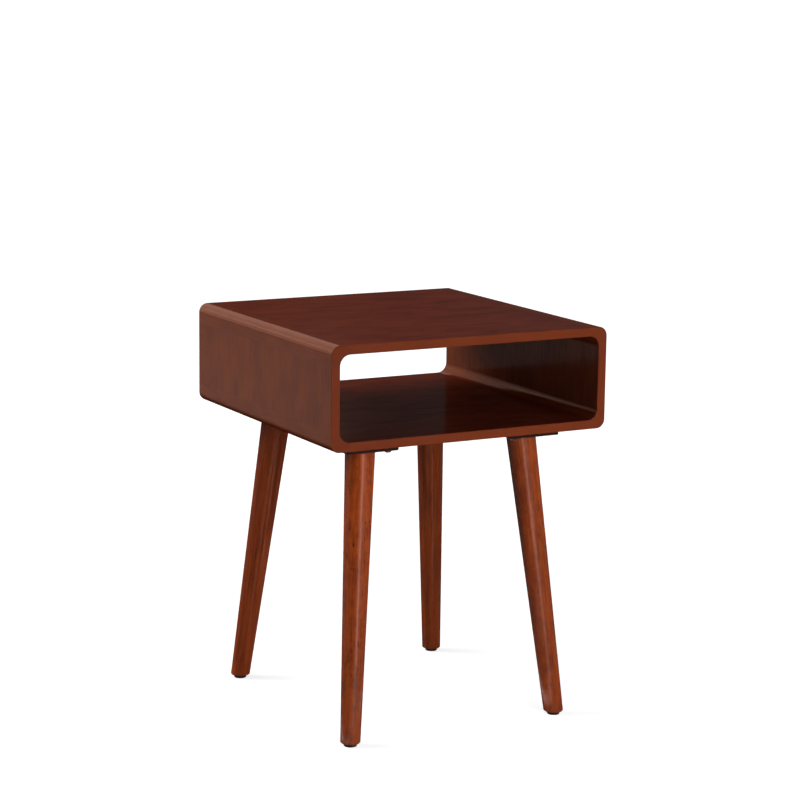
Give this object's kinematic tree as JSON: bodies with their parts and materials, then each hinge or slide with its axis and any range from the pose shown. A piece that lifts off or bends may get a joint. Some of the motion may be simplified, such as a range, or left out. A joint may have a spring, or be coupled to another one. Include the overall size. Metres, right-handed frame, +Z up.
{
  "type": "end table",
  "caption": "Square end table: a round-cornered wooden case, open front and back as a shelf, on splayed, tapered round legs with mounting blocks and glides.",
  "frame": {"origin": "on the floor, under the middle of the table", "axes": "+X across the width to the right, +Y from the front to the back, +Z up; the picture's camera sees the front (-Y) and the left side (-X)"},
  "size_m": [0.4, 0.4, 0.525],
  "materials": {
    "case_veneer": "red-brown stained veneer, semi-gloss lacquer",
    "corner_wood": "red-brown stained solid wood, semi-gloss lacquer",
    "block_wood": "dark brown stained wood, satin",
    "leg_wood": "red-brown stained solid wood, semi-gloss lacquer",
    "dowel_wood": "bare beech",
    "black_screw": "black oxide",
    "zinc_screw": "zinc plated",
    "insert_brass": "plain",
    "glide_plastic": "moulded black",
    "nail_steel": "plain"
  },
  "bodies": {
    "root": {"top_panel": "case_veneer", "shelf_panel": "case_veneer", "left_side_panel": "case_veneer", "right_side_panel": "case_veneer", "bottom_left_corner": "corner_wood", "bottom_left_dowels": "dowel_wood", "top_left_corner": "corner_wood", "top_left_dowels": "dowel_wood", "bottom_right_corner": "corner_wood", "bottom_right_dowels": "dowel_wood", "top_right_corner": "corner_wood", "top_right_dowels": "dowel_wood", "front_left_block": "block_wood", "front_left_leg": "leg_wood", "front_left_block_screws": "black_screw", "front_left_leg_screws": "zinc_screw", "front_left_shelf_inserts": "insert_brass", "front_left_leg_inserts": "insert_brass", "front_left_glide": "glide_plastic", "front_left_glide_nail": "nail_steel", "front_right_block": "block_wood", "front_right_leg": "leg_wood", "front_right_block_screws": "black_screw", "front_right_leg_screws": "zinc_screw", "front_right_shelf_inserts": "insert_brass", "front_right_leg_inserts": "insert_brass", "front_right_glide": "glide_plastic", "front_right_glide_nail": "nail_steel", "back_left_block": "block_wood", "back_left_leg": "leg_wood", "back_left_block_screws": "black_screw", "back_left_leg_screws": "zinc_screw", "back_left_shelf_inserts": "insert_brass", "back_left_leg_inserts": "insert_brass", "back_left_glide": "glide_plastic", "back_left_glide_nail": "nail_steel", "back_right_block": "block_wood", "back_right_leg": "leg_wood", "back_right_block_screws": "black_screw", "back_right_leg_screws": "zinc_screw", "back_right_shelf_inserts": "insert_brass", "back_right_leg_inserts": "insert_brass", "back_right_glide": "glide_plastic", "back_right_glide_nail": "nail_steel"}
  },
  "joints": []
}
